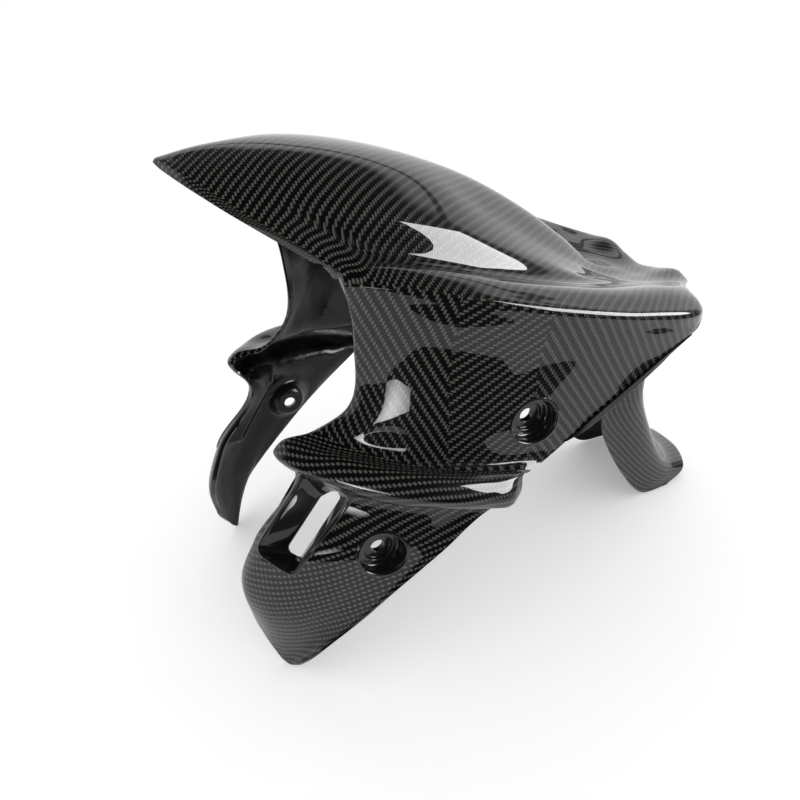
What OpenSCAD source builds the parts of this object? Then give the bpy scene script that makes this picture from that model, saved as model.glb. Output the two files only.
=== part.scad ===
// Front fender for a motorcycle, moulded in one piece.
// It stands here on the tips of its two legs and on the foot of its tail.
// X runs rearward, Y to the far side, Z up. Lengths are in millimetres.

/* [Shell] */
// Wall of the laminate
wall = 1.5; // [1.2:0.1:2]
// Steps along the shell, nose to rear edge
steps_along = 20; // [16:1:30]
// Steps between two neighbouring guide curves
steps_across = 2; // [2:1:4]
// Width over which the front edge of the crown turns in
crown_lip = 5; // [3:0.5:7]
// The same on the side panels
panel_lip = 2; // [1:0.5:4]
// The same on the winglets and legs
leg_lip = 4; // [3:0.5:6]

/* [Bolt recesses] */
// Bolt hole
hole_d = 10; // [5:0.5:14]
// Floor of the step the bolt head sits on
step_d = 20; // [14:1:26]
// Mouth of the recess
mouth_d = 32; // [24:1:40]
// How far the seat of the bolt head lies from the middle plane
seat_y = 102; // [98:0.5:106]
// Height of the step round the seat
step_t = 2.5; // [1:0.5:4]
// Thickness of the seat
seat_t = 4; // [2:0.5:6]
// Lower bolt, along the fender
low_x = 65; // [50:0.5:80]
// Lower bolt, above the floor
low_z = 112.5; // [100:0.5:130]
// Upper bolt, along the fender
high_x = 173; // [160:0.5:195]
// Upper bolt, above the floor
high_z = 193.5; // [170:0.5:205]

/* [Leg slot] */
// Length of the mouth
slot_long = 72; // [60:1:76]
// Width of the mouth at its top
slot_wide = 34; // [26:1:36]
// Width of the mouth at its bottom
slot_foot = 27; // [20:1:32]
// Length of the opening at the bottom of the funnel
open_long = 55; // [40:1:58]
// Width of the opening at the bottom of the funnel
open_wide = 11; // [8:1:14]
// Depth of the funnel
slot_deep = 13; // [8:1:16]

/* [Tail] */
// Wall of the tail, a little thicker so that its inner face stays clear of the shell's
tail_wall = 1.9; // [1.8:0.1:3]
// Steps down the tail
steps_tail = 14; // [10:2:30]

/* [Hidden] */
$fn = 36;

// Guide curves of the near half, each from the front edge to the rear edge.
// The second number is the distance from the middle plane.
ridge = [[-22, 0, 356], [8, 0, 361], [50, 0, 362], [95, 0, 355], [140, 0, 342],
    [185, 0, 323], [230, 0, 297], [270, 0, 269], [302, 0, 244], [330, 0, 234], [357, 0, 232]];
crease = [[-20, 7, 355], [12, 14, 358], [50, 22, 359], [95, 32, 350], [138, 37, 333],
    [180, 37, 307], [222, 33, 281], [262, 27, 258], [298, 20, 240], [330, 20, 235], [358, 20, 235]];
flank = [[3, 43, 339], [28, 48, 341], [62, 57, 337], [100, 64, 327], [140, 64, 312],
    [180, 59, 293], [220, 50, 274], [262, 42, 254], [298, 38, 241], [330, 40, 239], [357, 42, 241]];
foot = [[45, 72, 309], [66, 76, 309], [92, 79, 303], [125, 79, 294], [160, 75, 283],
    [198, 68, 271], [236, 61, 261], [272, 58, 252], [303, 58, 245], [330, 58, 242], [354, 55, 240]];
ledge = [[52, 75, 303], [66, 80, 307], [90, 89, 305], [125, 99, 297], [160, 105, 287],
    [199, 108, 277], [237, 109, 268], [267, 108, 262], [292, 106, 257], [311, 100, 252], [324, 86, 246]];
rim = [[54, 79, 301], [66, 87, 305], [90, 97, 302], [124, 108, 294], [159, 114, 284],
    [197, 117, 274], [234, 118, 265], [264, 117, 259], [289, 115, 254], [308, 110, 250], [320, 99, 245]];
brow = [[57, 80, 293], [67, 89, 295], [91, 101, 292], [122, 112, 285], [157, 118, 276],
    [195, 121, 266], [231, 122, 257], [260, 122, 251], [284, 121, 246], [302, 118, 242], [313, 113, 239]];
cheek = [[64, 74, 255], [75, 84, 256], [93, 96, 255], [118, 106, 251], [146, 113, 246],
    [174, 117, 240], [202, 120, 233], [229, 121, 226], [252, 121, 220], [270, 121, 216], [284, 120, 226]];
waist = [[58, 68, 206], [64, 78, 206], [75, 89, 206], [92, 99, 206], [112, 107, 204],
    [134, 112, 200], [155, 116, 195], [176, 119, 189], [196, 121, 182], [212, 122, 178], [222, 122, 189]];
root = [[40, 63, 194], [48, 72, 191], [58, 82, 187], [72, 92, 183], [87, 102, 179],
    [102, 109, 175], [118, 114, 171], [133, 118, 168], [148, 121, 165], [162, 124, 162], [172, 124, 159]];
wing_top = [[14, 60, 190], [17, 70, 190], [28, 84, 188], [42, 97, 187], [57, 109, 184],
    [74, 118, 181], [92, 126, 177], [112, 131, 172], [131, 133, 167], [148, 133, 163], [161, 128, 160]];
wing_edge = [[10, 60, 185], [12, 71, 184], [22, 86, 182], [36, 100, 179], [51, 112, 176],
    [68, 122, 172], [87, 131, 168], [107, 136, 163], [128, 138, 158], [147, 138, 154], [159, 131, 152]];
wing_low = [[12, 61, 178], [16, 71, 176], [26, 86, 175], [39, 99, 172], [54, 112, 168],
    [71, 122, 164], [90, 129, 160], [110, 134, 155], [130, 136, 150], [147, 137, 146], [158, 130, 145]];
under = [[21, 60, 164], [26, 69, 165], [33, 79, 164], [43, 89, 162], [55, 98, 159],
    [69, 106, 156], [84, 112, 152], [99, 117, 149], [114, 121, 146], [129, 123, 143], [142, 125, 137]];
shin = [[-10, 54, 110], [-8, 65, 111], [-1, 76, 112], [8, 87, 112], [20, 97, 112],
    [33, 104, 112], [47, 109, 111], [62, 112, 110], [77, 115, 108], [91, 119, 105], [104, 123, 109]];
ankle = [[-23, 51, 70], [-23, 62, 69], [-18, 73, 67], [-11, 83, 66], [-2, 91, 66],
    [8, 98, 66], [19, 103, 67], [30, 107, 66], [40, 111, 66], [50, 114, 66], [57, 117, 71]];
hem = [[-21, 58, 46], [-19, 63, 36], [-16, 68, 27], [-13, 73, 19], [-10, 77, 12],
    [-7, 80, 5], [-3, 84, 1], [0, 92, 8], [4, 100, 19], [11, 106, 30], [22, 110, 42]];
guides = [ridge, crease, flank, foot, ledge, rim, brow, cheek, waist, root,
    wing_top, wing_edge, wing_low, under, shin, ankle, hem];

// A smooth curve through the points of a list, t from 0 to its last index
function at(list, i) = i < 0 ? 2 * list[0] - list[1]
    : i > len(list) - 1 ? 2 * list[len(list) - 1] - list[len(list) - 2]
    : list[i];
function bend(a, b, c, d, f) = b + f / 2 * ((c - a)
    + f * ((2 * a - 5 * b + 4 * c - d) + f * (3 * (b - c) + d - a)));
function through(list, t) = let (i = min(floor(t), len(list) - 2))
    bend(at(list, i - 1), at(list, i), at(list, i + 1), at(list, i + 2), t - i);

// The same where points lie at uneven gaps: the slope at a point heeds the gaps beside it
function gap(list, i) = norm(at(list, i + 1) - at(list, i));
function slope(list, i) = let (a = gap(list, i - 1), b = gap(list, i))
    ((at(list, i) - at(list, i - 1)) * b / a + (at(list, i + 1) - at(list, i)) * a / b) / (a + b);
function over(list, t) = let (i = min(floor(t), len(list) - 2), f = t - i,
    p = list[i], q = list[i + 1], m = gap(list, i) * slope(list, i), n = gap(list, i) * slope(list, i + 1))
    p + f * (m + f * (3 * (q - p) - 2 * m - n + f * (2 * (p - q) + m + n)));

// The curve over the shell from the ridge down to the hem, for one step along it
function section(u) = [for (g = guides) through(g, u * (len(g) - 1))];
function side(p, s) = [p[0], s * p[1], p[2]];

// Grid of the outer face, from the far hem over the ridge to the near hem
rows = steps_across * (len(guides) - 1);
function mirrored(list) = concat([for (i = [3 : -1 : 1]) side(list[i], -1)], list);
function half_row(u) = let (list = section(u), both = mirrored(list))
    [for (r = [0 : rows]) over(both, 3 + r / steps_across)];
function full_row(u) = let (half = half_row(u))
    concat([for (r = [rows : -1 : 1]) side(half[r], 1)], [for (r = [0 : rows]) side(half[r], -1)]);
outer = [for (k = [0 : steps_along]) full_row(k / steps_along)];

// The inner face lies one wall further in
function unit(v) = norm(v) < 0.0001 ? [0, 0, 1] : v / norm(v);
function facing(g, k, r) = let (
    m = len(g) - 1,
    n = len(g[0]) - 1,
    a = g[min(k + 1, m)][r] - g[max(k - 1, 0)][r],
    b = g[k][min(r + 1, n)] - g[k][max(r - 1, 0)])
    unit(cross(a, b));
function inward(g, t) = [for (k = [0 : len(g) - 1]) [for (r = [0 : len(g[0]) - 1])
    g[k][r] + t * facing(g, k, r)]];

// The front edge turns inward, over a width that changes from the crown to the legs
function lip(r) = lookup(abs(r - rows) / steps_across, [[0, 2], [1.5, crown_lip], [5, crown_lip],
    [7, panel_lip], [8.5, panel_lip], [9.5, leg_lip]]);
function lip_step(g, r, s) = let (p = g[0][r], q = g[1][r])
    p + (q - p) * s * lip(r) / norm(q - p) + pow(1 - s, 1.6) * 0.8 * lip(r) * facing(g, 0, r);
function with_lip(g) = concat([for (s = [0, 0.45, 1]) [for (r = [0 : len(g[0]) - 1]) lip_step(g, r, s)]],
    [for (k = [1 : len(g) - 1]) g[k]]);
shell_grid = with_lip(outer);

// A sheet with thickness, closed round its rim
module sheet(front, back) {
    m = len(front);
    n = len(front[0]);
    flat = concat([for (row = front) each row], [for (row = back) each row]);
    half = m * n;
    top = [for (k = [0 : m - 2]) for (r = [0 : n - 2]) let (i = k * n + r)
        each [[i, i + n + 1, i + 1], [i, i + n, i + n + 1]]];
    low = [for (f = top) [f[2] + half, f[1] + half, f[0] + half]];
    ring = concat([for (r = [0 : n - 2]) r], [for (k = [0 : m - 2]) k * n + n - 1],
        [for (r = [n - 1 : -1 : 1]) (m - 1) * n + r], [for (k = [m - 1 : -1 : 1]) k * n]);
    rim = [for (j = [0 : len(ring) - 1]) let (p = ring[j], q = ring[(j + 1) % len(ring)])
        each [[p, q, q + half], [p, q + half, p + half]]];
    polyhedron(points = flat, faces = concat(top, low, rim), convexity = 10);
}

// Crown, deck, shoulders, side panels, winglets and legs
module shell() {
    color("dimgray") sheet(shell_grid, inward(shell_grid, wall));
}

// Guide curves of the tail's near half, from the deck down to the foot
tail_mid = [[357, 0, 232], [364, 0, 223], [364, 0, 200], [359, 0, 172], [358, 0, 145],
    [364, 0, 115], [378, 0, 84], [398, 0, 50], [420, 0, 30], [446, 0, 20]];
tail_bow = [[358, 20, 235], [364, 20, 226], [363, 21, 202], [358, 22, 173], [357, 22, 145],
    [363, 22, 115], [377, 22, 84], [397, 23, 50], [419, 23, 29], [445, 22, 18]];
tail_corner = [[357, 42, 241], [363, 42, 231], [360, 43, 204], [353, 44, 172], [348, 45, 141],
    [353, 45, 115], [367, 46, 84], [388, 46, 48], [408, 46, 24], [434, 43, 12]];
tail_skirt = [[354, 55, 240], [353, 55, 229], [336, 52, 200], [318, 50, 168], [304, 49, 132],
    [304, 50, 106], [317, 50, 78], [342, 50, 40], [373, 50, 6], [408, 49, 2]];
tail_guides = [tail_mid, tail_bow, tail_corner, tail_skirt];
tail_rows = steps_across * (len(tail_guides) - 1);
function tail_row(u) = let (
    list = [for (g = tail_guides) through(g, u * (len(g) - 1))],
    both = mirrored(list),
    half = [for (r = [0 : tail_rows]) over(both, 3 + r / steps_across)])
    concat([for (r = [tail_rows : -1 : 1]) side(half[r], 1)], [for (r = [0 : tail_rows]) side(half[r], -1)]);

// The tail starts under the last two steps of the deck, within the deck's wall
function layer(g, first, rest) = let (all = inward(g, rest))
    concat([inward(g, first)[0]], [for (k = [1 : len(g) - 1]) all[k]]);
module tail() {
    lap = [for (k = [steps_along - 2 : steps_along - 1])
        [for (r = [rows - tail_rows : rows + tail_rows]) outer[k][r]]];
    grid = concat(lap, [for (k = [0 : steps_tail]) tail_row(k / steps_tail)]);
    color("dimgray") sheet(layer(grid, 0.4, 0), layer(grid, wall - 0.4, tail_wall));
}

// Recess for one bolt: its axis runs across the fender and its mouth is trimmed to the panel.
// It is drawn round the seat, with the outside of the fender toward minus Y.
module recess_body(out, lean, turn) {
    difference() {
        translate([0, seat_t, 0]) rotate([90, 0, 0]) cylinder(h = out + seat_t + 8, d = mouth_d + 4);
        translate([0, -out, 0]) rotate([lean, 0, turn]) translate([-40, -40, -40]) cube([80, 40, 80]);
    }
}
module recess_cut() {
    translate([0, 9, 0]) rotate([90, 0, 0]) cylinder(h = 20, d = hole_d);
    rotate([90, 0, 0]) cylinder(h = 20, d = step_d);
    translate([0, -step_t, 0]) rotate([90, 0, 0]) cylinder(h = 30, d = mouth_d);
}
module at_bolt(x, z) {
    translate([x, -seat_y, z]) children();
}
module recess_bodies() {
    at_bolt(low_x, low_z) recess_body(10.1, -6, -10);
    at_bolt(high_x, high_z) recess_body(16, -5, -6);
}
module recess_cuts() {
    at_bolt(low_x, low_z) recess_cut();
    at_bolt(high_x, high_z) recess_cut();
}

// Funnel through the front of the leg, square to the surface there. Its ends lean, its mouth
// narrows to the foot, and the opening lies toward the rear wall.
module at_slot() {
    translate([17.4, -79.7, 131.8]) rotate([41, -55.5, -5]) children();
}
mouth = [[slot_long / 2 - 8, slot_wide / 2 - 5], [slot_long / 2 - 3, 5 - slot_wide / 2],
    [10 - slot_long / 2, 3 - slot_foot / 2], [6 - slot_long / 2, slot_foot / 2 - 3]];
opening = [[open_long / 2 - 8, open_wide / 2 - 8], [open_long / 2, -open_wide / 2 - 1],
    [5 - open_long / 2, -open_wide / 2 - 1], [4 - open_long / 2, open_wide / 2 - 8]];
module corners(list, z, h, r) {
    for (c = list) translate([c[0], c[1], z]) cylinder(h = h, r = r, $fn = 24);
}
module slot_body() {
    at_slot() hull() {
        corners(mouth, -2, 2.3, 7);
        corners(opening, -slot_deep, 1, 6);
    }
}
module slot_cut() {
    at_slot() {
        linear_extrude(2 * slot_deep + 20, center = true) offset(3.3) polygon(opening);
        hull() {
            corners(mouth, 0.31, 12, 5);
            corners(opening, 1.6 - slot_deep, 1, 4);
        }
    }
}

// The guides are drawn from the leg tips; the part's own origin is the middle of its outline
module fender() {
    translate([-211.4, 0, -0.8]) difference() {
        union() {
            shell();
            tail();
            for (s = [0, 1]) mirror([0, s, 0]) {
                recess_bodies();
                slot_body();
            }
        }
        for (s = [0, 1]) mirror([0, s, 0]) {
            recess_cuts();
            slot_cut();
        }
    }
}

fender();
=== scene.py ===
import math

import bpy
import numpy as np
from mathutils import Matrix, Vector
from mathutils.bvhtree import BVHTree


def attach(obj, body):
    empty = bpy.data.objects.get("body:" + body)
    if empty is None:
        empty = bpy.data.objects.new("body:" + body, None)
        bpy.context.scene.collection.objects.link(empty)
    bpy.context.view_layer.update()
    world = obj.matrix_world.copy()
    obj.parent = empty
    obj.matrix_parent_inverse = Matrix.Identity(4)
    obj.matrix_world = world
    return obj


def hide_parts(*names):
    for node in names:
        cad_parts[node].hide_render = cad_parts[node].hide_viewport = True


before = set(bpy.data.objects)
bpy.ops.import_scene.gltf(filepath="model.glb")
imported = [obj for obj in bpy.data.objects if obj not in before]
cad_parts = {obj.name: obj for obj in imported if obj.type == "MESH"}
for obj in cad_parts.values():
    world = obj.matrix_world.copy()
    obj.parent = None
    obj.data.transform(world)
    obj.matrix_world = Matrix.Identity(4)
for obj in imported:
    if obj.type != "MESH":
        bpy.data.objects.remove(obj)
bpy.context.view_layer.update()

scene = bpy.context.scene
scene.view_settings.view_transform = "Standard"

# everything below is in the guide curves' own millimetres until toMetres
origin = np.array([211.4, 0.0, 0.8])
mirrorY = np.array([1.0, -1.0, 1.0])
tiny = 1e-9


def toMetres(p):
    return (np.asarray(p, float) - origin) / 1000


# the camera looks down from over the near front corner
cameraPlace = dict(at=(-59.55, -403.55, 442.34), pitch=32.88, yaw=25.20, roll=0.17, lens=29.70,
                   sensor=36, clip=(0.01, 100))


def makeCamera(c):
    pitch, yaw, roll = (math.radians(c[k]) for k in ("pitch", "yaw", "roll"))
    ahead = Vector((math.sin(yaw) * math.cos(pitch), math.cos(yaw) * math.cos(pitch), -math.sin(pitch)))
    right = Vector((math.cos(yaw), -math.sin(yaw), 0))
    down = ahead.cross(right)
    turnedRight = math.cos(roll) * right + math.sin(roll) * down
    turnedDown = math.cos(roll) * down - math.sin(roll) * right
    data = bpy.data.cameras.new("camera")
    data.lens = c["lens"]
    data.sensor_width = c["sensor"]
    data.clip_start, data.clip_end = c["clip"]
    data.dof.use_dof = False
    cam = bpy.data.objects.new("camera", data)
    turn = Matrix((turnedRight, -turnedDown, -ahead)).transposed().to_4x4()
    cam.matrix_world = Matrix.Translation(Vector(toMetres(c["at"]))) @ turn
    scene.collection.objects.link(cam)
    scene.camera = cam


makeCamera(cameraPlace)
print("camera set")

# guide curves of the near half, each from the front edge to the rear edge;
# brow and brink make the shoulder's edge a little fuller than in the solid model
guides = dict(
    ridge=[(-22, 0, 356), (8, 0, 361), (50, 0, 362), (95, 0, 355), (140, 0, 342), (185, 0, 323),
           (230, 0, 297), (270, 0, 269), (302, 0, 244), (330, 0, 234), (357, 0, 232)],
    crease=[(-20, 7, 355), (12, 14, 358), (50, 22, 359), (95, 32, 350), (138, 37, 333), (180, 37, 307),
            (222, 33, 281), (262, 27, 258), (298, 20, 240), (330, 20, 235), (358, 20, 235)],
    flank=[(3, 43, 339), (28, 48, 341), (62, 57, 337), (100, 64, 327), (140, 64, 312), (180, 59, 293),
           (220, 50, 274), (262, 42, 254), (298, 38, 241), (330, 40, 239), (357, 42, 241)],
    foot=[(45, 72, 309), (66, 76, 309), (92, 79, 303), (125, 79, 294), (160, 75, 283), (198, 68, 271),
          (236, 61, 261), (272, 58, 252), (303, 58, 245), (330, 58, 242), (354, 55, 240)],
    ledge=[(52, 75, 303), (66, 80, 307), (90, 89, 305), (125, 99, 297), (160, 105, 287),
           (199, 108, 277), (237, 109, 268), (267, 108, 262), (292, 106, 257), (311, 100, 252),
           (324, 86, 246)],
    rim=[(54, 79, 301), (66, 87, 305), (90, 97, 302), (124, 108, 294), (159, 114, 284),
         (197, 117, 274), (234, 118, 265), (264, 117, 259), (289, 115, 254), (308, 110, 250),
         (320, 99, 245)],
    brow=[(55, 80.5, 297), (66, 90.5, 300), (90, 102.5, 297.5), (123, 113.8, 290.5), (158, 120, 281),
          (196, 123, 271), (232, 124, 262), (262, 123, 256), (286, 121.5, 251), (305, 116.5, 246.5),
          (316, 109, 242.5)],
    brink=[(58, 79.5, 288), (68, 88.8, 289), (91, 101.5, 287), (122, 113, 280), (156, 119.2, 271),
           (193, 122.2, 261), (229, 123.2, 252), (258, 122.8, 246), (281, 121.6, 241),
           (299, 118.5, 237), (310, 114.5, 235)],
    cheek=[(64, 74, 255), (75, 84, 256), (93, 96, 255), (118, 106, 251), (146, 113, 246),
           (174, 117, 240), (202, 120, 233), (229, 121, 226), (252, 121, 220), (270, 121, 216),
           (284, 120, 226)],
    waist=[(58, 68, 206), (64, 78, 206), (75, 89, 206), (92, 99, 206), (112, 107, 204),
           (134, 112, 200), (155, 116, 195), (176, 119, 189), (196, 121, 182), (212, 122, 178),
           (222, 122, 189)],
    root=[(40, 63, 194), (48, 72, 191), (58, 82, 187), (72, 92, 183), (87, 102, 179), (102, 109, 175),
          (118, 114, 171), (133, 118, 168), (148, 121, 165), (162, 124, 162), (172, 124, 159)],
    wingTop=[(14, 60, 190), (17, 70, 190), (28, 84, 188), (42, 97, 187), (57, 109, 184),
             (74, 118, 181), (92, 126, 177), (112, 131, 172), (131, 133, 167), (148, 133, 163),
             (161, 128, 160)],
    wingEdge=[(10, 60, 185), (12, 71, 184), (22, 86, 182), (36, 100, 179), (51, 112, 176),
              (68, 122, 172), (87, 131, 168), (107, 136, 163), (128, 138, 158), (147, 138, 154),
              (159, 131, 152)],
    wingLow=[(12, 61, 178), (16, 71, 176), (26, 86, 175), (39, 99, 172), (54, 112, 168),
             (71, 122, 164), (90, 129, 160), (110, 134, 155), (130, 136, 150), (147, 137, 146),
             (158, 130, 145)],
    under=[(21, 60, 164), (26, 69, 165), (33, 79, 164), (43, 89, 162), (55, 98, 159), (69, 106, 156),
           (84, 112, 152), (99, 117, 149), (114, 121, 146), (129, 123, 143), (142, 125, 137)],
    shin=[(-10, 54, 110), (-8, 65, 111), (-1, 76, 112), (8, 87, 112), (20, 97, 112), (33, 104, 112),
          (47, 109, 111), (62, 112, 110), (77, 115, 108), (91, 119, 105), (104, 123, 109)],
    ankle=[(-23, 51, 70), (-23, 62, 69), (-18, 73, 67), (-11, 83, 66), (-2, 91, 66), (8, 98, 66),
           (19, 103, 67), (30, 107, 66), (40, 111, 66), (50, 114, 66), (57, 117, 71)],
    hem=[(-21, 58, 46), (-19, 63, 36), (-16, 68, 27), (-13, 73, 19), (-10, 77, 12), (-7, 80, 5),
         (-3, 84, 1), (0, 92, 8), (4, 100, 19), (11, 106, 30), (22, 110, 42)])
tailGuides = dict(
    mid=[(357, 0, 232), (364, 0, 223), (364, 0, 200), (359, 0, 172), (358, 0, 145), (364, 0, 115),
         (378, 0, 84), (398, 0, 50), (420, 0, 30), (446, 0, 20)],
    bow=[(358, 20, 235), (364, 20, 226), (363, 21, 202), (358, 22, 173), (357, 22, 145),
         (363, 22, 115), (377, 22, 84), (397, 23, 50), (419, 23, 29), (445, 22, 18)],
    corner=[(357, 42, 241), (363, 42, 231), (360, 43, 204), (353, 44, 172), (348, 45, 141),
            (353, 45, 115), (367, 46, 84), (388, 46, 48), (408, 46, 24), (434, 43, 12)],
    skirt=[(354, 55, 240), (353, 55, 229), (336, 52, 200), (318, 50, 168), (304, 49, 132),
           (304, 50, 106), (317, 50, 78), (342, 50, 40), (373, 50, 6), (408, 49, 2)])


def through(points, t, before=None, after=None):
    # smooth curve through the points; t counts them; before and after steer its two ends
    p = np.asarray(points, float)
    first = 2 * p[0] - p[1] if before is None else np.asarray(before, float)
    last = 2 * p[-1] - p[-2] if after is None else np.asarray(after, float)
    p = np.concatenate([[first], p, [last]])
    t = np.atleast_1d(np.asarray(t, float))
    i = np.clip(np.floor(t).astype(int), 0, len(p) - 4)
    f = (t - i)[:, None]
    a, b, c, d = p[i], p[i + 1], p[i + 2], p[i + 3]
    return b + f / 2 * ((c - a) + f * ((2 * a - 5 * b + 4 * c - d) + f * (3 * (b - c) + d - a)))


def over(points, t):
    # the same for whole curves at uneven gaps, and one value of t
    p = np.concatenate([2 * points[:1] - points[1:2], points, 2 * points[-1:] - points[-2:-1]])
    i = min(int(t), len(p) - 4)
    f = t - i
    a, b, c, d = p[i:i + 4]
    back, here, on = (np.linalg.norm(q, axis=-1, keepdims=True) for q in (b - a, c - b, d - c))
    m = here * ((b - a) * here / back + (c - b) * back / here) / (back + here)
    n = here * ((c - b) * on / here + (d - c) * here / on) / (here + on)
    return b + f * (m + f * (3 * (c - b) - 2 * m - n + f * (2 * (b - c) + m + n)))


def gridNormals(g):
    n = np.cross(np.gradient(g, axis=1), np.gradient(g, axis=0))
    return n / np.maximum(np.linalg.norm(n, axis=2, keepdims=True), tiny)


def fullGrid(half):
    return np.concatenate([half[:, :0:-1] * mirrorY, half], axis=1)


class Skin:
    # the near half of a surface given by guide curves
    def __init__(self, curves, before=None, after=None):
        self.curves = [np.asarray(c, float) for c in curves]
        self.before = before or [None] * len(self.curves)
        self.after = after or [None] * len(self.curves)

    def row(self, u, v):
        lists = np.stack([through(c, u * (len(c) - 1), b, a)
                          for c, b, a in zip(self.curves, self.before, self.after)])
        both = np.concatenate([lists[3:0:-1] * mirrorY, lists])
        return over(both, v + 3) * mirrorY

    def grid(self, columns, values, lip=None):
        # grid [column, row, xyz]; with a lip, the first columns roll inward along the front edge
        even = np.linspace(0, 1, columns)
        if lip is None:
            return np.stack([self.row(even, v) for v in values], axis=1)
        near = 0.002
        start = np.stack([self.row(np.array([0, near, 2 * near]), v) for v in values], axis=1)
        speed = np.linalg.norm(start[1] - start[0], axis=1) / near
        inward = -gridNormals(start)[0]
        s = np.linspace(0, 1, lip["lipColumns"])
        curl = (1 - s) ** lip["lipTurn"] * lip["lipCurl"]
        rows = []
        for j, v in enumerate(values):
            wide = np.interp(v, lip["lipAt"], lip["lipWide"])
            after = wide / speed[j] + (1 - wide / speed[j]) * even[1:]
            u = np.concatenate([s * wide / speed[j], after])
            line = self.row(np.minimum(u, 1), v)
            line[:len(s)] += (curl * wide)[:, None] * inward[j]
            rows.append(line)
        return np.stack(rows, axis=1)


def valuesOf(counts):
    # row values with so many steps between each two guides
    parts = [i + np.arange(c) / c for i, c in enumerate(counts)]
    return np.concatenate(parts + [[float(len(counts))]])


class Sock:
    # a socket that can stand in sums
    def __init__(self, tree, out):
        self.tree, self.out = tree, out

    def math(self, op, *values, clamp=False):
        maths = self.tree.nodes.new("ShaderNodeMath")
        maths.operation = op
        maths.use_clamp = clamp
        for i, v in enumerate(values):
            if isinstance(v, Sock):
                self.tree.links.new(v.out, maths.inputs[i])
            else:
                maths.inputs[i].default_value = v
        return Sock(self.tree, maths.outputs[0])

    def __add__(self, o):
        return self.math("ADD", self, o)

    def __radd__(self, o):
        return self.math("ADD", o, self)

    def __sub__(self, o):
        return self.math("SUBTRACT", self, o)

    def __rsub__(self, o):
        return self.math("SUBTRACT", o, self)

    def __mul__(self, o):
        return self.math("MULTIPLY", self, o)

    def __rmul__(self, o):
        return self.math("MULTIPLY", o, self)

    def __pow__(self, o):
        return self.math("POWER", self, o)

    def __mod__(self, o):
        return self.math("FLOORED_MODULO", self, o)

    def __lt__(self, o):
        return self.math("LESS_THAN", self, o)

    def floor(self):
        return self.math("FLOOR", self)

    def fract(self):
        return self.math("FRACT", self)

    def abs(self):
        return self.math("ABSOLUTE", self)

    def clamp(self):
        return self.math("ADD", self, 0.0, clamp=True)

    def ramp(self, low, high):
        # 0 at low, 1 at high, smooth between
        return node(self.tree, "MapRange", dict(interpolation_type="SMOOTHSTEP"),
                    {"Value": self, "From Min": low, "From Max": high})


def node(tree, kind, settings, values, out=0):
    n = tree.nodes.new("ShaderNode" + kind)
    for k, v in settings.items():
        setattr(n, k, v)
    for k, v in values.items():
        if isinstance(v, Sock):
            tree.links.new(v.out, n.inputs[k])
        else:
            n.inputs[k].default_value = v
    return n if out is None else Sock(tree, n.outputs[out])


def colourMix(tree, factor, a, b):
    return node(tree, "Mix", dict(data_type="RGBA"), {0: factor, 6: a, 7: b}, out=2)


def newMaterial(name):
    mat = bpy.data.materials.new(name)
    mat.use_nodes = True
    return mat, mat.node_tree, mat.node_tree.nodes["Principled BSDF"]


def feed(tree, bsdf, **values):
    # sets or links the inputs of these names, where _ stands for a space
    for k, v in values.items():
        socket = bsdf.inputs[k.replace("_", " ")]
        if isinstance(v, Sock):
            tree.links.new(v.out, socket)
        else:
            socket.default_value = v


resinIor = 1.5
# the warp tows' light grey is painted sheen; the weft and gap colours are the carbon's own near black
weave = dict(tow=2.0, warpColour=(0.105, 0.099, 0.087, 1), weftColour=(0.0015, 0.0015, 0.0018, 1),
             gapColour=(0.0008, 0.0008, 0.001, 1), gapAtEdge=(0.88, 0.46), gapAtEnds=(0.96, 0.58),
             wanderScale=0.05, wanderBy=0.5, flatAcross=3.0, flatAlong=4.0,
             filamentFine=1.6, filamentAcross=9, filamentAlong=0.5, warpShift=31, towShift=(3.1, 7.7),
             filamentFrom=0.38, filamentDark=1.5, filamentHigh=0.12,
             bump=0.6, bumpDeep=0.0004, sheen=0.05, roughness=0.38, coatRoughness=0.012)
resinLook = dict(dark=(0.0035, 0.0035, 0.004, 1), pale=(0.014, 0.014, 0.0145, 1), sheen=0.45,
                 lumpScale=34.0, grainScale=420.0, grainHigh=0.06, bump=0.5, bumpDeep=0.003,
                 paleLumps=(0.40, 0.72), roughLumps=(0.3, 0.8), roughness=0.20, roughnessSpread=0.2)
glossLook = dict(colour=(0.004, 0.004, 0.0045, 1), roughness=0.3, sheen=0.2, coatRoughness=0.02)


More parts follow.
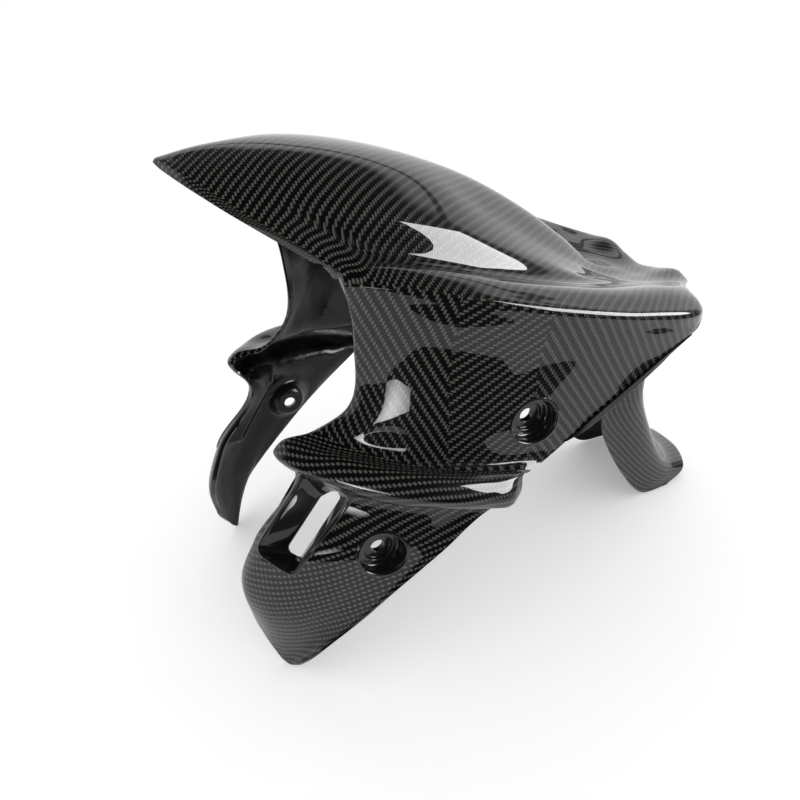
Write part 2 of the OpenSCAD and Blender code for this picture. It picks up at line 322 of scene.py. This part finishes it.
def makeCarbon(w):
    # two by two twill under a clear coat: the tows one way are painted light grey as a painted sheen, the
    # tows the other way dark
    mat, tree, bsdf = newMaterial("clearCoatedTwill")
    uv = node(tree, "UVMap", dict(uv_map="cloth"), {})
    u = node(tree, "SeparateXYZ", {}, {"Vector": uv}, out="X") * (1 / w["tow"])
    v = node(tree, "SeparateXYZ", {}, {"Vector": uv}, out="Y") * (1 / w["tow"])
    wander = node(tree, "TexNoise", dict(noise_dimensions="3D"),
                  {"Vector": uv, "Scale": w["wanderScale"], "Detail": 1.0})
    u = u + (wander - 0.5) * w["wanderBy"]
    fu, fv = u.fract(), v.fract()
    # the pattern comes back after four tows, each two over and two under
    step = (u.floor() + v.floor()) % 4.0
    warpUp = step < 1.5
    along = (step + fv) * 0.5 * warpUp + (step - 2.0 + fu) * 0.5 * (1 - warpUp)
    across = fu * warpUp + fv * (1 - warpUp)
    # each tow is a low rounded ribbon that dives at both ends of its float
    edge = (across * 2 - 1).abs()
    ends = (along * 2 - 1).abs()
    height = (1 - edge ** w["flatAcross"]).clamp() ** 0.5 * (1 - ends ** w["flatAlong"]).clamp() ** 0.5
    # the filaments run along a tow and differ from tow to tow
    towOwn = u.floor() * w["towShift"][0] + v.floor() * w["towShift"][1]
    filamentAt = node(tree, "CombineXYZ", {}, {"X": across * w["filamentAcross"] + warpUp * w["warpShift"],
                                               "Y": along * w["filamentAlong"], "Z": towOwn})
    filament = node(tree, "TexNoise", dict(noise_dimensions="3D"),
                    {"Vector": filamentAt, "Scale": w["filamentFine"], "Detail": 2.0})
    pocket = edge.ramp(*w["gapAtEdge"]) * ends.ramp(*w["gapAtEnds"])
    # painted sheen: the tows lying one way get a light grey that stands in for the way they catch the light
    tint = colourMix(tree, warpUp, w["weftColour"], w["warpColour"])
    dark = ((filament - w["filamentFrom"]) * w["filamentDark"]).clamp()
    tint = colourMix(tree, dark, tint, w["gapColour"])
    tint = colourMix(tree, pocket, w["gapColour"], tint)
    bump = node(tree, "Bump", {}, {"Strength": w["bump"], "Distance": w["bumpDeep"],
                                   "Height": height + filament * w["filamentHigh"]})
    feed(tree, bsdf, Base_Color=tint, Roughness=w["roughness"], IOR=resinIor,
         Specular_IOR_Level=w["sheen"], Coat_Weight=1.0, Coat_Roughness=w["coatRoughness"],
         Coat_IOR=resinIor, Normal=bump)
    return mat


def makeResin(r):
    # the inside: dark resin, lumpy and with a fine grain
    mat, tree, bsdf = newMaterial("insideResin")
    place = node(tree, "TexCoord", {}, {}, out="Object")
    lumps = node(tree, "TexNoise", {}, {"Vector": place, "Scale": r["lumpScale"], "Detail": 2.0})
    grain = node(tree, "TexNoise", {}, {"Vector": place, "Scale": r["grainScale"], "Detail": 2.0})
    tint = colourMix(tree, lumps.ramp(*r["paleLumps"]), r["dark"], r["pale"])
    bump = node(tree, "Bump", {}, {"Strength": r["bump"], "Distance": r["bumpDeep"],
                                   "Height": lumps + grain * r["grainHigh"]})
    feed(tree, bsdf, Base_Color=tint, Specular_IOR_Level=r["sheen"], Normal=bump,
         Roughness=lumps.ramp(*r["roughLumps"]) * r["roughnessSpread"] + r["roughness"])
    return mat


def makeGloss(g):
    # bare dark resin under the clear coat, for rims, lips and linings
    mat, tree, bsdf = newMaterial("glossRim")
    feed(tree, bsdf, Base_Color=g["colour"], Roughness=g["roughness"], Specular_IOR_Level=g["sheen"],
         Coat_Weight=1.0, Coat_Roughness=g["coatRoughness"], Coat_IOR=resinIor)
    return mat


carbon, resin, gloss = makeCarbon(weave), makeResin(resinLook), makeGloss(glossLook)
print("materials made")

# how each piece of cloth lies, as the turn of its tows on the surface in degrees; the two seams
# stand at an x, the crown's and the winglet's limits count guide curves down from the ridge
cloth = dict(crown=6, crownFiner=1.2, front=-17, middle=80, rear=-10, winglet=62, leg=68, tail=-62,
             frontSeam=114.0, rearSeam=172.0, crownEnds=5.9, wingStarts=10.1, wingEnds=13.7,
             farShift=500.0)
cellCorners = ((0, 0), (1, 0), (1, 1), (0, 1))


def turned(st, degrees):
    c, s = math.cos(math.radians(degrees)), math.sin(math.radians(degrees))
    return np.stack([st[..., 0] * c + st[..., 1] * s, st[..., 1] * c - st[..., 0] * s], -1)


def crownChart(half, leastRun=0.2, steepest=1.5):
    # lengthwise: arc length of the ridge at the same x; crosswise: arc length down from it
    x, z = half[:, 0, 0], half[:, 0, 2]
    run = np.concatenate([[0], np.cumsum(np.hypot(np.diff(x), np.diff(z)))])
    s = np.interp(half[..., 0], x, run)
    slope = np.gradient(half[..., 2], axis=0) / np.maximum(np.gradient(half[..., 0], axis=0), leastRun)
    d = np.diff(half, axis=1)
    dz = d[..., 2] - np.clip(slope[:, 1:], -steepest, steepest) * d[..., 0]
    t = np.concatenate([np.zeros((len(x), 1)), np.cumsum(np.hypot(d[..., 1], dz), axis=1)], axis=1)
    return np.stack([s, t], -1)


def sideChart(half, meet):
    # lengthwise: arc length along each row, counted from the plane x = meet; crosswise: height
    d = np.diff(half, axis=0)
    run = np.concatenate([np.zeros((1, half.shape[1])), np.cumsum(np.hypot(d[..., 0], d[..., 1]), axis=0)])
    s = np.stack([run[:, r] - np.interp(meet, half[:, r, 0], run[:, r]) for r in range(half.shape[1])], 1)
    return np.stack([s, half[..., 2]], -1)


def wingChart(half, first):
    # arc lengths both ways, counted from the front edge and from the row called first
    d, e = np.diff(half, axis=0), np.diff(half, axis=1)
    s = np.concatenate([np.zeros((1, half.shape[1])), np.cumsum(np.linalg.norm(d, axis=2), axis=0)])
    t = np.concatenate([np.zeros((half.shape[0], 1)), np.cumsum(np.linalg.norm(e, axis=2), axis=1)], axis=1)
    return np.stack([s, -(t - t[:, first:first + 1])], -1)


def finishPiece(obj):
    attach(obj, "root")
    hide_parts("fender")


# a piece's material slots
outerFace, innerFace, rimFace = 0, 1, 2


def makeObject(name, pts, faces, uv, index, slots, sharpAt=48):
    # leaves out points that no face uses
    used = np.unique(faces)
    place = np.zeros(len(pts), int)
    place[used] = np.arange(len(used))
    mesh = bpy.data.meshes.new(name)
    mesh.from_pydata(toMetres(pts[used]).tolist(), [], place[faces].tolist())
    mesh.uv_layers.new(name="cloth").data.foreach_set("uv", uv.ravel())
    mesh.polygons.foreach_set("use_smooth", np.ones(len(faces), bool))
    for m in slots:
        mesh.materials.append(m)
    mesh.polygons.foreach_set("material_index", index)
    mesh.update()
    mesh.set_sharp_from_angle(angle=math.radians(sharpAt))
    obj = bpy.data.objects.new(name, mesh)
    scene.collection.objects.link(obj)
    finishPiece(obj)
    return obj


def buildSheet(name, grid, uvOf, gone, wall, plain=None):
    # outer face with its cloth, inner face of resin, and the rims between them
    m, n = grid.shape[:2]
    inner = grid - wall * gridNormals(grid)
    pts = np.concatenate([grid.reshape(-1, 3), inner.reshape(-1, 3)])
    k, r = np.meshgrid(np.arange(m - 1), np.arange(n - 1), indexing="ij")
    keep = ~gone.ravel()
    k, r = k.ravel()[keep], r.ravel()[keep]
    i = k * n + r
    quads = np.stack([i, i + n, i + n + 1, i + 1], -1)
    edges = np.concatenate([quads[:, [a, (a + 1) % 4]] for a in range(4)])
    known = {tuple(e) for e in edges.tolist()}
    free = np.array([e for e in edges.tolist() if (e[1], e[0]) not in known])
    rimFaces = np.stack([free[:, 1], free[:, 0], free[:, 0] + m * n, free[:, 1] + m * n], -1)
    faces = np.concatenate([quads, quads[:, ::-1] + m * n, rimFaces])
    uv = np.zeros((len(faces), 4, 2))
    uv[:len(quads)] = uvOf(k, r)
    index = np.full(len(faces), rimFace)
    index[:len(quads)] = outerFace if plain is None else np.where(plain[k, r], rimFace, outerFace)
    index[len(quads):2 * len(quads)] = innerFace
    return makeObject(name, pts, faces, uv, index, (carbon, resin, gloss))


def roundedDistance(q, corners, r):
    # signed distance to a convex outline: corner centres, anticlockwise, and their radius
    c = np.asarray(corners, float)
    if len(c) == 1:
        return np.linalg.norm(q - c[0], axis=-1) - r
    nearest = np.full(q.shape[:-1], np.inf)
    outside = np.full(q.shape[:-1], -np.inf)
    for a, b in zip(c, np.roll(c, -1, axis=0)):
        e = b - a
        t = np.clip(((q - a) @ e) / (e @ e), 0, 1)
        nearest = np.minimum(nearest, np.linalg.norm(q - a - t[..., None] * e, axis=-1))
        outside = np.maximum(outside, (q - a) @ np.array([e[1], -e[0]]) / np.linalg.norm(e))
    return np.where(outside > 0, nearest, -nearest) - r


def roundedLoop(corners, r, onArc=24, onEdge=12):
    # points round such an outline, as many at each corner and on each edge
    c = np.asarray(corners, float)
    if len(c) == 1:
        a = np.linspace(0, 2 * math.pi, 4 * (onArc + onEdge), endpoint=False)
        return c[0] + r * np.stack([np.cos(a), np.sin(a)], -1)
    pts = []
    for i, here in enumerate(c):
        back, on = here - c[i - 1], c[(i + 1) % len(c)] - here
        a0, a1 = math.atan2(-back[0], back[1]), math.atan2(-on[0], on[1])
        a = np.linspace(a0, a0 + (a1 - a0) % (2 * math.pi), onArc)
        arc = here + r * np.stack([np.cos(a), np.sin(a)], -1)
        side = on * np.linspace(0, 1, onEdge + 2)[1:-1, None]
        pts += [arc, arc[-1] + side]
    return np.concatenate(pts)


# how near the outline a point is drawn onto it, the heights between which a hollow cuts,
# the least turn toward the hollow, and the height that the surface is looked for from
hollowReach = dict(snap=1.1, below=-8, above=30, facing=0.3, lookFrom=60, step=0.01)


class Hollow:
    # an opening in the near half, with its own axes: the third points out of the surface
    def __init__(self, name, at, axes, corners, radius, cutAt):
        self.name, self.at, self.axes = name, np.array(at, float), np.array(axes, float).T
        self.corners, self.radius, self.cutAt = corners, radius, cutAt

    def local(self, p):
        return (np.asarray(p, float) - self.at) @ self.axes

    def world(self, q):
        return np.asarray(q, float) @ self.axes.T + self.at

    def distance(self, q):
        return roundedDistance(q[..., :2], self.corners, self.radius + self.cutAt)

    def inReach(self, q):
        return (q[..., 2] > hollowReach["below"]) & (q[..., 2] < hollowReach["above"])

    def snap(self, grid):
        # grid points close to the outline move onto it, along the surface
        q = self.local(grid)
        n = gridNormals(grid) @ self.axes
        d = self.distance(q)
        step = hollowReach["step"]
        gx = (self.distance(q + [step, 0, 0]) - d) / step
        gy = (self.distance(q + [0, step, 0]) - d) / step
        pick = (np.abs(d) < hollowReach["snap"]) & self.inReach(q) & (n[..., 2] > hollowReach["facing"])
        dx, dy = -d * gx, -d * gy
        dz = -(dx * n[..., 0] + dy * n[..., 1]) / np.where(pick, n[..., 2], 1)
        return grid + np.where(pick[..., None], np.stack([dx, dy, dz], -1), 0) @ self.axes.T

    def gone(self, grid):
        # the cells whose middle lies inside the outline
        q = self.local((grid[:-1, :-1] + grid[1:, 1:] + grid[1:, :-1] + grid[:-1, 1:]) / 4)
        return (self.distance(q) < 0) & self.inReach(q)

    def heights(self, tree, q):
        # how far out the surface lies over each place
        start = hollowReach["lookFrom"]
        out = []
        for a, b in q[:, :2]:
            hit = tree.ray_cast(Vector(self.world((a, b, start))), Vector(-self.axes[:, 2]))
            out.append(start - hit[3] if hit[0] is not None else np.nan)
        out = np.array(out)
        bad = np.isnan(out)
        if bad.any():
            out[bad] = np.interp(np.flatnonzero(bad), np.flatnonzero(~bad), out[~bad])
        return out


# the upper seat lies further out than in the solid model, as the photo shows its hole;
# rim gives how far past the mouth and how high over the outer face, roll rounds the corners
bolts = dict(low=(65.0, 112.5), high=(173.0, 193.5), seatAt=dict(low=102.0, high=108.5), seatThick=4.0,
             stepHigh=2.5, holeRadius=5.0, stepRadius=10.0, mouthRadius=16.0, cutAt=0.9, draft=0.1,
             rim=[(2.4, 0.03), (1.7, 0.30), (0.5, 0.30), (-0.4, -1.2)], wallIn=1.0,
             frontRoll=[0.4, 0.6, 1.2, 1.6, 0.7, 0.8, 0.5], cupIn=3, cupDeep=3.0, cupOut=9,
             cupClear=0.05, cupRoll=[5, 5])
slotMake = dict(at=(17.4, -79.7, 131.8), tilt=(41, -55.5, -5), radius=5.0, openRadius=4.0, deep=13.0,
                mouth=[(28, 12), (-30, 10.5), (-26, -10.5), (33, -12)], cutAt=0.9,
                opening=[(19.5, -2.5), (-23.5, -2.5), (-22.5, -6.5), (27.5, -6.5)],
                rim=[(3.0, 0.03), (2.4, 0.9), (0.6, 1.0), (-0.8, -1.2)], edgeHigh=1.4,
                frontRoll=[0.9, 0.9, 1.4, 1.2], backEdge=(0.3, 0.1), backWide=1.6,
                funnel=[(1.8, -3.6), (6.5, -1.55)], funnelRoll=[1.5, 3.5], rollSteps=7, leastRadius=0.5)
slotTurn = (Matrix.Rotation(math.radians(slotMake["tilt"][2]), 3, "Z")
            @ Matrix.Rotation(math.radians(slotMake["tilt"][1]), 3, "Y")
            @ Matrix.Rotation(math.radians(slotMake["tilt"][0]), 3, "X"))


def boltHollow(name, key):
    x, z = bolts[key]
    return Hollow(name, (x, -bolts["seatAt"][key], z), [(1, 0, 0), (0, 0, 1), (0, -1, 0)], [(0, 0)],
                  bolts["mouthRadius"], bolts["cutAt"])


recessLow, recessHigh = boltHollow("recessLow", "low"), boltHollow("recessHigh", "high")
slotHole = Hollow("slot", slotMake["at"], np.array(slotTurn).T, slotMake["mouth"], slotMake["radius"],
                  slotMake["cutAt"])

# rows counts the steps between each two guides; lipWide is the lip's width at the guides of lipAt
shellMake = dict(columns=112, rows=(8, 12, 11, 9, 8, 7, 7, 15, 22, 12, 11, 7, 7, 8, 28, 16, 16), wall=1.5,
                 lipColumns=8, bareColumns=6, lipTurn=1.6, lipCurl=0.8,
                 lipAt=(0, 1.5, 5, 8, 9.5, 10.5), lipWide=(2, 5, 5, 2, 2, 4))
deck = list(guides)[:4]
tailStarts = [tailGuides[t][1] for t in tailGuides]
shellSkin = Skin(guides.values(), after=tailStarts + [None] * (len(guides) - len(deck)))
rowValue = valuesOf(shellMake["rows"])
shellHalf = shellSkin.grid(shellMake["columns"], rowValue, shellMake)
halfColumns, halfRows = shellHalf.shape[:2]
cellStarts = [k * halfRows + r for k in range(halfColumns - 1) for r in range(halfRows - 1)]
outerTree = BVHTree.FromPolygons([Vector(p) for p in shellHalf.reshape(-1, 3)],
                                 [(i, i + halfRows, i + halfRows + 1, i + 1) for i in cellStarts])
hollows = (recessLow, recessHigh, slotHole)
for hollow in hollows:
    shellHalf = hollow.snap(shellHalf)
cellsGone = np.any([hollow.gone(shellHalf) for hollow in hollows], axis=0)
sideMap = sideChart(shellHalf, cloth["frontSeam"])
wingMap = wingChart(shellHalf, int(np.searchsorted(rowValue, cloth["wingStarts"])))
crownCloth, frontCloth, middleCloth, rearCloth, wingCloth, legCloth = range(6)
uvSets = np.stack([turned(crownChart(shellHalf), cloth["crown"]) * cloth["crownFiner"],
                   turned(sideMap, cloth["front"]),
                   turned(sideMap, cloth["middle"]),
                   turned(sideMap, cloth["rear"]),
                   turned(wingMap, cloth["winglet"]),
                   turned(sideMap, cloth["leg"])])


def clothOf(v, x):
    # which piece of cloth covers a place
    rearward = np.where(x < cloth["rearSeam"], middleCloth, rearCloth)
    side = np.where(x < cloth["frontSeam"], frontCloth, rearward)
    low = np.where(v > cloth["wingEnds"], legCloth, np.where(v > cloth["wingStarts"], wingCloth, side))
    return np.where(v < cloth["crownEnds"], crownCloth, low)


def shellUv(k, r, nudge=0.01):
    # the far half wears the near half's cloth, mirrored
    middle = halfRows - 1
    row = np.abs(r - middle)
    cell = np.where(r < middle, row - 1, row)
    names = clothOf(rowValue[cell] + nudge, shellHalf[k, row, 0])
    corners = [uvSets[names, k + a, np.abs(r + b - middle)] for a, b in cellCorners]
    return np.stack(corners, 1) + np.where(r < middle, cloth["farShift"], 0.0)[:, None, None]


# the legs' rolled front lips are bare resin
legLip = np.zeros(cellsGone.shape, bool)
legLip[:shellMake["bareColumns"], rowValue[:-1] > cloth["wingEnds"]] = True
plainLip = np.concatenate([legLip[:, ::-1], legLip], axis=1)
shell = buildSheet("fenderShell", fullGrid(shellHalf), shellUv,
                   np.concatenate([cellsGone[:, ::-1], cellsGone], axis=1), shellMake["wall"], plainLip)
print("shell made", len(shell.data.polygons))

tailMake = dict(columns=120, rows=(16, 16, 16), wall=1.9)
tailSkin = Skin(tailGuides.values(), before=[guides[g][-2] for g in deck])
tailHalf = tailSkin.grid(tailMake["columns"], valuesOf(tailMake["rows"]))
tailMap = turned(wingChart(tailHalf, 0)[..., ::-1], cloth["tail"])
tailRows = tailHalf.shape[1]


def tailUv(k, r):
    return np.stack([tailMap[k + a, np.abs(r + b - (tailRows - 1))] for a, b in cellCorners], 1)


buildSheet("fenderTail", fullGrid(tailHalf), tailUv,
           np.zeros((tailMake["columns"] - 1, 2 * tailRows - 2), bool), tailMake["wall"])
print("tail made")


def softCorner(points, radii, steps=6, most=0.49):
    # rounds the corners of an open profile; only the first two numbers of a point count as its place
    p = [np.array(q, float) for q in points]
    out = [p[0]]
    for a, c, b, r in zip(p[:-2], p[1:-1], p[2:], radii):
        inLong, outLong = np.linalg.norm((c - a)[:2]), np.linalg.norm((b - c)[:2])
        start = c + (a - c) * min(r / max(inLong, tiny), most)
        end = c + (b - c) * min(r / max(outLong, tiny), most)
        for s in np.linspace(0, 1, steps):
            out.append((1 - s) ** 2 * start + 2 * s * (1 - s) * c + s * s * end)
    return out + [p[-1]]


def ringPiece(name, rings, inside, first, far):
    # loops of points joined in turn; from the loop `inside` on it is the back, of resin
    m, n = len(rings), len(rings[0])
    pts = np.concatenate(rings)
    k, r = np.meshgrid(np.arange(m - 1), np.arange(n), indexing="ij")
    k, r = k.ravel(), r.ravel()
    a, b = k * n + r, k * n + (r + 1) % n
    quads = np.stack([a, b, b + n, a + n], -1)
    lengths = [np.linalg.norm(q - p, axis=1).mean() for p, q in zip(rings, rings[1:])]
    walk = np.concatenate([[0], np.cumsum(lengths)])
    flat = np.stack([pts[:, 0], pts[:, 2] + np.repeat(walk, n)], -1)
    if far:
        pts = pts * mirrorY
        quads = quads[:, ::-1]
    index = np.where(k < inside, outerFace, innerFace)
    return makeObject(name, pts, quads, turned(flat, cloth["leg"])[quads], index, (first, resin), sharpAt=60)


def makeRecess(hollow, far):
    b = bolts
    mouth, step, hole = b["mouthRadius"], b["stepRadius"], b["holeRadius"]
    high, thick, draft = b["stepHigh"], b["seatThick"], b["draft"]
    # radius, height, and how far the height is counted from the seat instead of the outer face
    rim = [(mouth + beyond, height, 0) for beyond, height in b["rim"]]
    steps = [(mouth - b["wallIn"], high, 1), (step + 2 * draft, high, 1), (step - draft, 0, 1),
             (hole + draft, 0, 1), (hole, -thick, 1)]
    front = softCorner(rim + steps, b["frontRoll"])
    cup = [(hole, -thick, 1), (mouth - b["cupIn"], -thick, 1), (mouth + b["cupIn"], -b["cupDeep"], 0),
           (mouth + b["cupOut"], -shellMake["wall"] - b["cupClear"], 0)]
    back = softCorner(cup, b["cupRoll"])
    rings = []
    for radius, height, share in front + back:
        q = roundedLoop(hollow.corners, radius)
        out = hollow.heights(outerTree, q) if share < 1 else 0
        rings.append(hollow.world(np.column_stack([q, (1 - share) * out + height + 0 * q[:, 0]])))
    ringPiece(hollow.name + ("Far" if far else "Near"), rings, len(front), gloss, far)


def makeSlot(hollow, far):
    s = slotMake
    deep = s["deep"]
    mouth, opening = np.array(s["mouth"], float), np.array(s["opening"], float)
    # growth of the outline, height, and how far both have gone over to the opening
    rim = [(grow, height, 0) for grow, height in s["rim"]]
    edge = [(0.0, -deep + s["edgeHigh"], 1), (0.0, -deep, 1)]
    front = softCorner(rim + edge, s["frontRoll"], s["rollSteps"])
    beyond, lower = s["backEdge"]
    behind = [(beyond, -deep - lower, 1), (s["backWide"], -deep, 1)]
    funnel = [(grow, height, 0) for grow, height in s["funnel"]]
    back = softCorner(behind + funnel, s["funnelRoll"], s["rollSteps"])
    rings = []
    for grow, height, share in front + back:
        radius = (1 - share) * s["radius"] + share * s["openRadius"] + grow
        q = roundedLoop((1 - share) * mouth + share * opening, max(radius, s["leastRadius"]))
        out = hollow.heights(outerTree, q) if share < 1 else 0
        rings.append(hollow.world(np.column_stack([q, (1 - share) * out + height + 0 * q[:, 0]])))
    ringPiece(hollow.name + ("Far" if far else "Near"), rings, len(front), gloss, far)


for far in (False, True):
    makeRecess(recessLow, far)
    makeRecess(recessHigh, far)
    makeSlot(slotHole, far)
print("recesses and slots made")

# the pale floor ends in front of the fender, where the room is dark
floorMake = dict(outline=[(-420, -400), (-130, -400), (0, -340), (100, -345), (190, -385), (285, -465),
                          (420, -440), (520, -430), (2600, 1100), (30000, 21000), (-12000, 30000),
                          (-408, 3000)],
                 colour=(0.90, 0.90, 0.90, 1), lift=0.26, fadeFrom=0.35, fadeTo=0.75, distant=1.0)
# gap is a darker band across the backdrop, between two heights
light = dict(sky=0.95, room=0.02, backdrop=0.95, backdropFrom=(-0.05, 0.15), backdropTop=(0.64, 0.76),
             gap=(0.52, 0.57), gapSoft=0.01, gapDark=0.85)
# azimuth is counted from straight in front of the near side, toward the rear; size is in metres
lamps = dict(rightBox=dict(azimuth=50, elevation=18, distance=1.3, size=(1.0, 0.75), power=30, spread=180,
                           aim=(0, 0, 0.2)),
             leftBox=dict(azimuth=-41, elevation=-9, distance=0.25, size=(0.14, 0.07), power=0.024,
                          spread=40, aim=toMetres((80, -93, 205))))
white = (1, 1, 1, 1)


def makeFloor(f):
    mesh = bpy.data.meshes.new("floor")
    mesh.from_pydata([toMetres((x, y, origin[2])).tolist() for x, y in f["outline"]], [],
                     [tuple(range(len(f["outline"])))])
    mat, tree = newMaterial("paleFloor")[:2]
    tree.nodes.clear()
    seen = node(tree, "LightPath", {}, {}, out="Is Camera Ray")
    place = node(tree, "TexCoord", {}, {}, out="Object")
    away = node(tree, "VectorMath", dict(operation="LENGTH"), {0: place}, out="Value")
    matte = node(tree, "BsdfDiffuse", {}, {"Color": f["colour"]})
    glow = node(tree, "Emission", {}, {"Color": white, "Strength": seen * f["lift"]})
    near = node(tree, "AddShader", {}, {0: matte, 1: glow})
    distant = node(tree, "Emission", {}, {"Color": white, "Strength": f["distant"]})
    both = node(tree, "MixShader", {}, {0: away.ramp(f["fadeFrom"], f["fadeTo"]), 1: near, 2: distant})
    node(tree, "OutputMaterial", {}, {"Surface": both}, out=None)
    mesh.materials.append(mat)
    obj = bpy.data.objects.new("floor", mesh)
    scene.collection.objects.link(obj)


def makeWorld(w):
    world = bpy.data.worlds.new("studio")
    world.use_nodes = True
    scene.world = world
    tree = world.node_tree
    tree.nodes.clear()
    camera = node(tree, "LightPath", {}, {}, out="Is Camera Ray")
    mirror = node(tree, "LightPath", {}, {}, out="Is Glossy Ray")
    ahead = node(tree, "TexCoord", {}, {}, out="Generated")
    y = node(tree, "SeparateXYZ", {}, {"Vector": ahead}, out="Y")
    z = node(tree, "SeparateXYZ", {}, {"Vector": ahead}, out="Z")
    # a white backdrop stands behind the fender; the room in front and above is dark
    behind = y.ramp(*w["backdropFrom"]) * (1 - z.ramp(*w["backdropTop"]))
    bottom, top = w["gap"]
    gap = z.ramp(bottom, bottom + w["gapSoft"]) * (1 - z.ramp(top - w["gapSoft"], top))
    room = behind * (1 - gap * w["gapDark"]) * w["backdrop"] + w["room"]
    strength = camera + (1 - camera) * (mirror * room + (1 - mirror) * w["sky"])
    sky = node(tree, "Background", {}, {"Color": white, "Strength": strength})
    node(tree, "OutputWorld", {}, {"Surface": sky}, out=None)


def makeLamp(name, make):
    azimuth, elevation = math.radians(make["azimuth"]), math.radians(make["elevation"])
    way = Vector((math.sin(azimuth) * math.cos(elevation), -math.cos(azimuth) * math.cos(elevation),
                  math.sin(elevation)))
    data = bpy.data.lights.new(name, "AREA")
    data.shape = "RECTANGLE"
    data.size, data.size_y = make["size"]
    data.energy = make["power"]
    data.spread = math.radians(make["spread"])
    lamp = bpy.data.objects.new(name, data)
    lamp.location = Vector(make["aim"]) + make["distance"] * way
    lamp.rotation_euler = (-way).to_track_quat("-Z", "Y").to_euler()
    lamp.visible_camera = False
    lamp.visible_diffuse = False
    scene.collection.objects.link(lamp)


makeFloor(floorMake)
makeWorld(light)
for name, make in lamps.items():
    makeLamp(name, make)
print("stage and lamps set")
